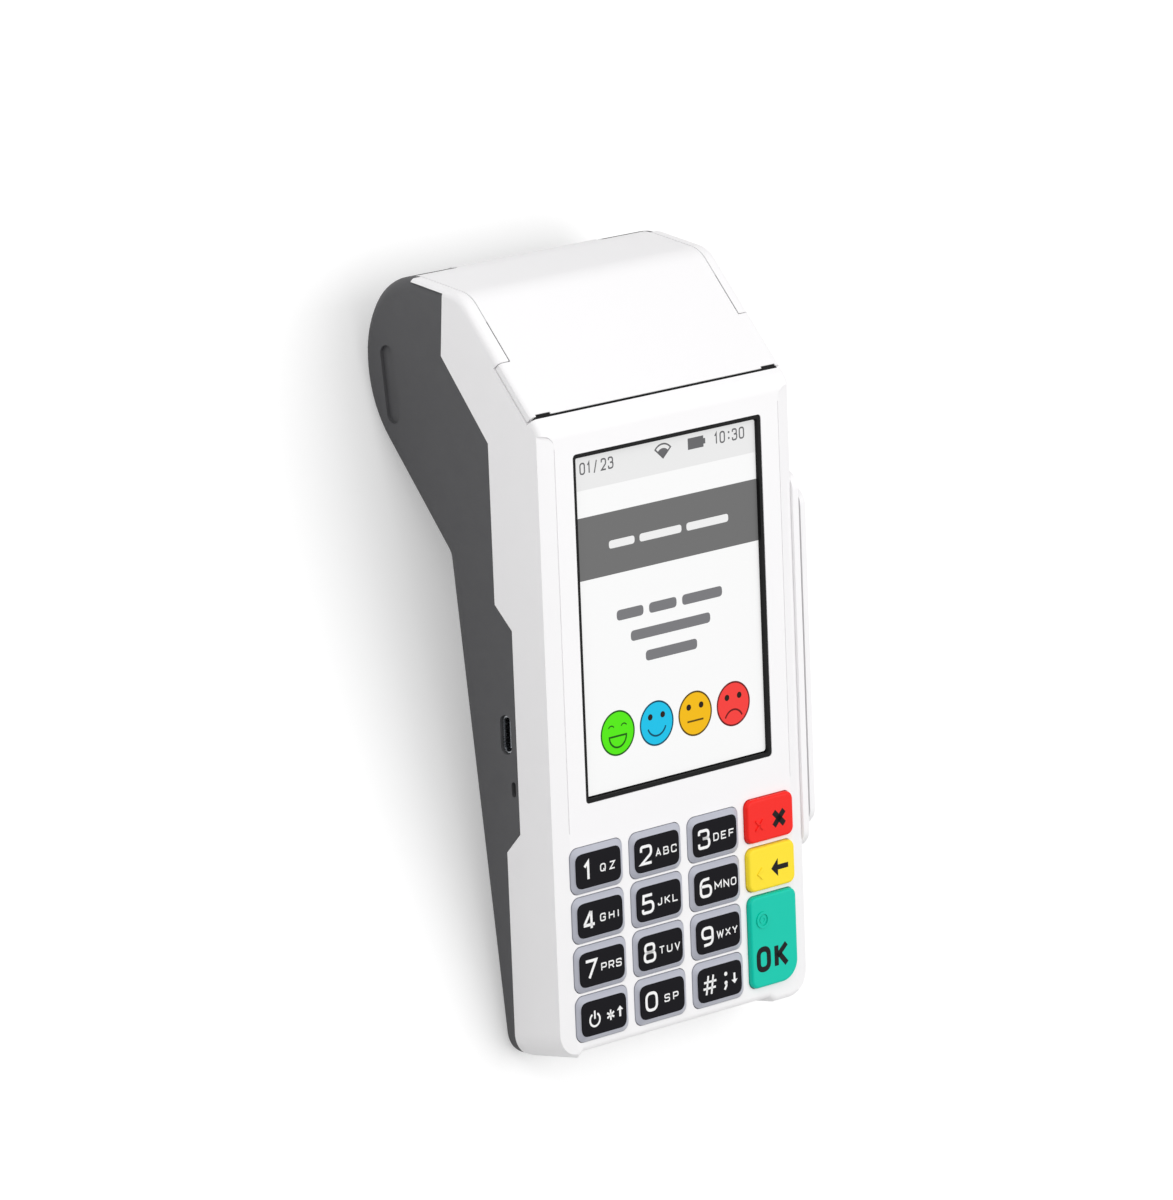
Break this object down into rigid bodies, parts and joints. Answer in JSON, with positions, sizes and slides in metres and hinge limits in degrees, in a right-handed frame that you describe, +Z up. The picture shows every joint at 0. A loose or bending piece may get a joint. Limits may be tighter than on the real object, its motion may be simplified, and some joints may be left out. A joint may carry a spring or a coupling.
{
  "type": "handheld survey terminal with keypad and receipt printer",
  "caption": "Handheld counter terminal with a recessed touch screen, a raised keypad with coloured function keys and a receipt printer in its upper back under a hinged cover.",
  "frame": {"origin": "centre of the bounding box in plan, at the height of the surface that the rubber feet stand on", "axes": "+X to the terminal's right, +Y from the keypad end towards the printer end, +Z up; the terminal lies on its back with its front face tilted 14.5 degrees towards the user"},
  "size_m": [0.0856, 0.1865, 0.0574],
  "materials": {
    "white_plastic": "satin moulded plastic",
    "dark_plastic": "fine matt moulded plastic",
    "swipe_plastic": "satin moulded plastic",
    "screen_glass": "lit screen under hard glass",
    "black_rubber": "matt",
    "panel": "coated",
    "copper_coil": "printed coil on film",
    "silicone": "matt silicone",
    "circuit_board": "solder mask",
    "tin": "tinned sheet",
    "steel": "bright",
    "black_screw": "black plated",
    "coin_cell": "bright",
    "black_part": "moulded",
    "battery_wrap": "wrapped pack",
    "gold_contacts": "plated",
    "antenna_film": "film",
    "printer_metal": "zinc plated",
    "ceramic": "glazed ceramic",
    "aluminium": "cast",
    "gear_plastic": "acetal",
    "platen_rubber": "ground rubber",
    "paper": "smooth paper",
    "core_plastic": "moulded core",
    "number_key": "satin",
    "red_key": "satin",
    "yellow_key": "satin",
    "green_key": "satin",
    "foot_rubber": "matt"
  },
  "bodies": {
    "terminal": {"battery_contacts": "gold_contacts", "battery_pack": "battery_wrap", "board_parts": "tin", "board_screws": "steel", "card_reader": "black_part", "case_screws": "black_screw", "coin_cell": "coin_cell", "contactless_antenna": "copper_coil", "cover_hinge_pin": "steel", "display_panel": "panel", "front_housing": "white_plastic", "head_pivot_pin": "steel", "head_springs": "steel", "keypad_board": "circuit_board", "keypad_membrane": "silicone", "main_board": "circuit_board", "paper_bay": "black_part", "printer_frame": "printer_metal", "printer_screws": "steel", "radio_antenna": "antenna_film", "rear_housing": "dark_plastic", "rubber_feet": "foot_rubber", "screen_gasket": "black_rubber", "screen_lens": "screen_glass", "speaker": "black_part", "stepper_motor": "printer_metal", "swipe_guide": "swipe_plastic", "usb_socket": "tin"},
    "cover": {"paper_cover": "white_plastic", "platen_bushings": "black_part", "tear_bar": "steel"},
    "platen": {"platen_shaft": "steel", "platen_rubber": "platen_rubber", "platen_gear": "gear_plastic"},
    "idler": {"idler_gear": "gear_plastic"},
    "pinion": {"motor_pinion": "gear_plastic"},
    "roll": {"paper_roll": "paper", "paper_core": "core_plastic"},
    "head": {"print_head": "aluminium", "print_head_board": "ceramic"},
    "swipe_head": {"magnetic_head": "steel", "magnetic_head_spring": "steel"},
    "battery_door": {"battery_cover": "dark_plastic", "battery_latch_spring": "steel"},
    "latch": {"battery_latch": "dark_plastic"},
    "key_0_body": {"key_0": "number_key"},
    "key_1_body": {"key_1": "number_key"},
    "key_2_body": {"key_2": "number_key"},
    "key_3_body": {"key_3": "number_key"},
    "key_4_body": {"key_4": "number_key"},
    "key_5_body": {"key_5": "number_key"},
    "key_6_body": {"key_6": "number_key"},
    "key_7_body": {"key_7": "number_key"},
    "key_8_body": {"key_8": "number_key"},
    "key_9_body": {"key_9": "number_key"},
    "key_cancel_body": {"key_cancel": "red_key"},
    "key_clear_body": {"key_clear": "yellow_key"},
    "key_hash_body": {"key_hash": "number_key"},
    "key_ok_body": {"key_ok": "green_key"},
    "key_star_body": {"key_star": "number_key"}
  },
  "joints": [
    {"name": "cover_hinge", "type": "hinge", "parent": "terminal", "child": "cover", "pos_m": [-0.00275, 0.09154, 0.01938], "axis": [-1, 0, 0], "range_deg": [0, 75]},
    {"name": "platen_spin", "type": "hinge", "parent": "cover", "child": "platen", "pos_m": [-0.00275, 0.0562, 0.04633], "axis": [1, 0, 0], "continuous": true},
    {"name": "idler_spin", "type": "hinge", "parent": "terminal", "child": "idler", "pos_m": [-0.00275, 0.04818, 0.03674], "axis": [1, 0, 0], "continuous": true},
    {"name": "pinion_spin", "type": "hinge", "parent": "terminal", "child": "pinion", "pos_m": [-0.00275, 0.04013, 0.03], "axis": [1, 0, 0], "continuous": true},
    {"name": "roll_spin", "type": "hinge", "parent": "terminal", "child": "roll", "pos_m": [-0.00275, 0.06961, 0.0223], "axis": [1, 0, 0], "continuous": true},
    {"name": "head_hinge", "type": "hinge", "parent": "terminal", "child": "head", "pos_m": [-0.00275, 0.05277, 0.03822], "axis": [1, 0, 0], "range_deg": [0, 3], "stiffness_Nm_per_rad": 0.14, "springref_deg": -11.46, "deforming": ["head_springs"]},
    {"name": "swipe_head_slide", "type": "slide", "parent": "terminal", "child": "swipe_head", "axis": [-1, 0, 0], "range_m": [0, 0.0005], "stiffness_N_per_m": 800, "springref_m": -0.0005},
    {"name": "battery_door_hinge", "type": "hinge", "parent": "terminal", "child": "battery_door", "pos_m": [-0.00275, -0.02858, 0.00966], "axis": [-1, 0, 0], "range_deg": [0, 75]},
    {"name": "latch_slide", "type": "slide", "parent": "battery_door", "child": "latch", "axis": [0, -0.9899, -0.1419], "range_m": [0, 0.0018], "stiffness_N_per_m": 300, "springref_m": -0.001, "deforming": ["battery_latch_spring"]},
    {"name": "key_0_press", "type": "slide", "parent": "terminal", "child": "key_0_body", "axis": [0, 0.2496, -0.9683], "range_m": [0, 0.0006], "stiffness_N_per_m": 1900, "springref_m": -0.0001},
    {"name": "key_1_press", "type": "slide", "parent": "terminal", "child": "key_1_body", "axis": [0, 0.2496, -0.9683], "range_m": [0, 0.0006], "stiffness_N_per_m": 1900, "springref_m": -0.0001},
    {"name": "key_2_press", "type": "slide", "parent": "terminal", "child": "key_2_body", "axis": [0, 0.2496, -0.9683], "range_m": [0, 0.0006], "stiffness_N_per_m": 1900, "springref_m": -0.0001},
    {"name": "key_3_press", "type": "slide", "parent": "terminal", "child": "key_3_body", "axis": [0, 0.2496, -0.9683], "range_m": [0, 0.0006], "stiffness_N_per_m": 1900, "springref_m": -0.0001},
    {"name": "key_4_press", "type": "slide", "parent": "terminal", "child": "key_4_body", "axis": [0, 0.2496, -0.9683], "range_m": [0, 0.0006], "stiffness_N_per_m": 1900, "springref_m": -0.0001},
    {"name": "key_5_press", "type": "slide", "parent": "terminal", "child": "key_5_body", "axis": [0, 0.2496, -0.9683], "range_m": [0, 0.0006], "stiffness_N_per_m": 1900, "springref_m": -0.0001},
    {"name": "key_6_press", "type": "slide", "parent": "terminal", "child": "key_6_body", "axis": [0, 0.2496, -0.9683], "range_m": [0, 0.0006], "stiffness_N_per_m": 1900, "springref_m": -0.0001},
    {"name": "key_7_press", "type": "slide", "parent": "terminal", "child": "key_7_body", "axis": [0, 0.2496, -0.9683], "range_m": [0, 0.0006], "stiffness_N_per_m": 1900, "springref_m": -0.0001},
    {"name": "key_8_press", "type": "slide", "parent": "terminal", "child": "key_8_body", "axis": [0, 0.2496, -0.9683], "range_m": [0, 0.0006], "stiffness_N_per_m": 1900, "springref_m": -0.0001},
    {"name": "key_9_press", "type": "slide", "parent": "terminal", "child": "key_9_body", "axis": [0, 0.2496, -0.9683], "range_m": [0, 0.0006], "stiffness_N_per_m": 1900, "springref_m": -0.0001},
    {"name": "key_cancel_press", "type": "slide", "parent": "terminal", "child": "key_cancel_body", "axis": [0, 0.2496, -0.9683], "range_m": [0, 0.0006], "stiffness_N_per_m": 1900, "springref_m": -0.0001},
    {"name": "key_clear_press", "type": "slide", "parent": "terminal", "child": "key_clear_body", "axis": [0, 0.2496, -0.9683], "range_m": [0, 0.0006], "stiffness_N_per_m": 1900, "springref_m": -0.0001},
    {"name": "key_hash_press", "type": "slide", "parent": "terminal", "child": "key_hash_body", "axis": [0, 0.2496, -0.9683], "range_m": [0, 0.0006], "stiffness_N_per_m": 1900, "springref_m": -0.0001},
    {"name": "key_ok_press", "type": "slide", "parent": "terminal", "child": "key_ok_body", "axis": [0, 0.2496, -0.9683], "range_m": [0, 0.0006], "stiffness_N_per_m": 1900, "springref_m": -0.0001},
    {"name": "key_star_press", "type": "slide", "parent": "terminal", "child": "key_star_body", "axis": [0, 0.2496, -0.9683], "range_m": [0, 0.0006], "stiffness_N_per_m": 1900, "springref_m": -0.0001}
  ],
  "couplings": [
    {"joint": "idler_spin", "follows": "platen_spin", "ratio": -0.66667},
    {"joint": "pinion_spin", "follows": "platen_spin", "ratio": 1.6667}
  ]
}
